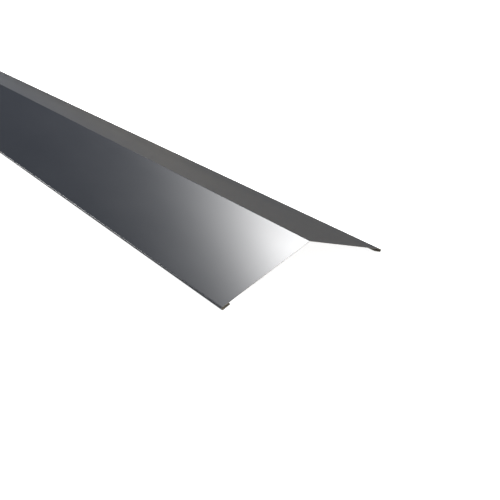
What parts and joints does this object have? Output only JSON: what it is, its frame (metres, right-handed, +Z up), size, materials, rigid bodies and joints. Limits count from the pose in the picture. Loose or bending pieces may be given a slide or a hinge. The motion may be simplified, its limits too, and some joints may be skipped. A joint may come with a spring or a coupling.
{
  "type": "roof ridge cap",
  "caption": "Length of painted sheet steel folded into a shallow inverted V, with an open hem turned under along both long edges, to cover the ridge of a roof.",
  "frame": {"origin": "middle of the footprint, on the level that the two hems stand on", "axes": "+X along the ridge, +Y across it from the left flange to the right one, +Z up through the ridge"},
  "size_m": [2, 0.2806, 0.0548],
  "materials": {
    "painted_steel": "satin anthracite coil coating, with a pale grey back coat on the lower face"
  },
  "bodies": {
    "root": {"ridge_cap": "painted_steel"}
  },
  "joints": []
}
